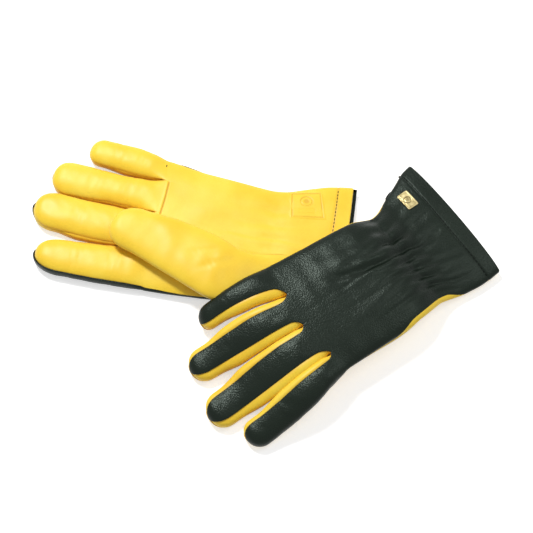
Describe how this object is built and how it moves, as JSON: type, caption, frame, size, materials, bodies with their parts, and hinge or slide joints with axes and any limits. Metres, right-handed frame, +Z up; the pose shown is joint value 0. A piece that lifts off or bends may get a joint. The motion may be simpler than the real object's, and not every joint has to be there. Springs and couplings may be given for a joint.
{
  "type": "beekeeping gloves",
  "caption": "Pair of soft leather gloves with short elasticated cuffs: dark backs, yellow palms, forked side strips, folded thumbs and a small metal badge.",
  "frame": {"origin": "centre of the pair's outline on the surface that it lies on", "axes": "+Z up; +X along the longer side of the pair's outline, away from the left glove's fingertips; +Y away from the right glove's fingertips"},
  "size_m": [0.3724, 0.2618, 0.03],
  "materials": {
    "dark_leather": "pebbled dark green-black hide with a soft sheen",
    "yellow_leather": "smooth yellow deerskin, soft highlights",
    "lining": "black brushed knit",
    "elastic": "black woven elastic",
    "thread": "black waxed sewing thread",
    "brass": "pale polished brass"
  },
  "bodies": {
    "left_hand": {"left_back_panel": "dark_leather", "left_palm_panel": "yellow_leather", "left_fourchette_forks": "yellow_leather", "left_thumb_gusset": "yellow_leather", "left_hand_lining": "lining", "left_wrist_elastic": "elastic", "left_hem_thread": "thread", "left_badge_plate": "brass", "left_badge_washer": "brass"},
    "left_index": {"left_index_back": "dark_leather", "left_index_front": "yellow_leather", "left_index_fourchette": "yellow_leather", "left_index_lining": "lining"},
    "left_middle": {"left_middle_back": "dark_leather", "left_middle_front": "yellow_leather", "left_middle_fourchettes": "yellow_leather", "left_middle_lining": "lining"},
    "left_ring": {"left_ring_back": "dark_leather", "left_ring_front": "yellow_leather", "left_ring_fourchettes": "yellow_leather", "left_ring_lining": "lining"},
    "left_pinky": {"left_pinky_back": "dark_leather", "left_pinky_front": "yellow_leather", "left_pinky_fourchette": "yellow_leather", "left_pinky_lining": "lining"},
    "left_thumb": {"left_thumb_front": "yellow_leather", "left_thumb_back": "yellow_leather", "left_thumb_lining": "lining"},
    "right_hand": {"right_back_panel": "dark_leather", "right_palm_panel": "yellow_leather", "right_fourchette_forks": "yellow_leather", "right_thumb_gusset": "yellow_leather", "right_hand_lining": "lining", "right_wrist_elastic": "elastic", "right_hem_thread": "thread", "right_badge_plate": "brass", "right_badge_washer": "brass"},
    "right_index": {"right_index_back": "dark_leather", "right_index_front": "yellow_leather", "right_index_fourchette": "yellow_leather", "right_index_lining": "lining"},
    "right_middle": {"right_middle_back": "dark_leather", "right_middle_front": "yellow_leather", "right_middle_fourchettes": "yellow_leather", "right_middle_lining": "lining"},
    "right_ring": {"right_ring_back": "dark_leather", "right_ring_front": "yellow_leather", "right_ring_fourchettes": "yellow_leather", "right_ring_lining": "lining"},
    "right_pinky": {"right_pinky_back": "dark_leather", "right_pinky_front": "yellow_leather", "right_pinky_fourchette": "yellow_leather", "right_pinky_lining": "lining"},
    "right_thumb": {"right_thumb_front": "yellow_leather", "right_thumb_back": "yellow_leather", "right_thumb_lining": "lining"}
  },
  "joints": [
    {"name": "right_glove_lift", "type": "slide", "parent": "left_hand", "child": "right_hand", "axis": [0, 0, 1], "range_m": [0, 0.15]},
    {"name": "left_index_fold", "type": "hinge", "parent": "left_hand", "child": "left_index", "pos_m": [-0.10377, 0.01632, 0.013], "axis": [0.1668, 0.986, 0], "range_deg": [0, 75]},
    {"name": "left_middle_fold", "type": "hinge", "parent": "left_hand", "child": "left_middle", "pos_m": [-0.09951, 0.04972, 0.013], "axis": [0.2334, 0.9724, 0], "range_deg": [0, 75]},
    {"name": "left_ring_fold", "type": "hinge", "parent": "left_hand", "child": "left_ring", "pos_m": [-0.09464, 0.08012, 0.013], "axis": [0.2368, 0.9715, 0], "range_deg": [0, 75]},
    {"name": "left_pinky_fold", "type": "hinge", "parent": "left_hand", "child": "left_pinky", "pos_m": [-0.08933, 0.10606, 0.013], "axis": [0.3007, 0.9537, 0], "range_deg": [0, 75]},
    {"name": "right_index_fold", "type": "hinge", "parent": "right_hand", "child": "right_index", "pos_m": [0.05002, -0.07651, 0.029], "axis": [-0.628, 0.7782, 0], "range_deg": [0, 60]},
    {"name": "right_middle_fold", "type": "hinge", "parent": "right_hand", "child": "right_middle", "pos_m": [0.0305, -0.05825, 0.029], "axis": [-0.5736, 0.8192, 0], "range_deg": [0, 60]},
    {"name": "right_ring_fold", "type": "hinge", "parent": "right_hand", "child": "right_ring", "pos_m": [0.01307, -0.03315, 0.029], "axis": [-0.4741, 0.8805, 0], "range_deg": [0, 60]},
    {"name": "right_pinky_fold", "type": "hinge", "parent": "right_hand", "child": "right_pinky", "pos_m": [-0.00052, -0.00647, 0.029], "axis": [-0.4462, 0.8949, 0], "range_deg": [0, 60]},
    {"name": "left_thumb_fold", "type": "hinge", "parent": "left_hand", "child": "left_thumb", "pos_m": [-0.04488, 0.01413, 0.0261], "axis": [0.3999, 0.9165, 0], "range_deg": [0, 75]},
    {"name": "right_thumb_swing", "type": "hinge", "parent": "right_hand", "child": "right_thumb", "pos_m": [0.09968, -0.04631, 0.006], "axis": [0, 0, 1], "range_deg": [0, 40]}
  ],
  "couplings": [
    {"joint": "left_middle_fold", "follows": "left_index_fold", "ratio": 1},
    {"joint": "left_thumb_fold", "follows": "left_index_fold", "ratio": 1}
  ]
}
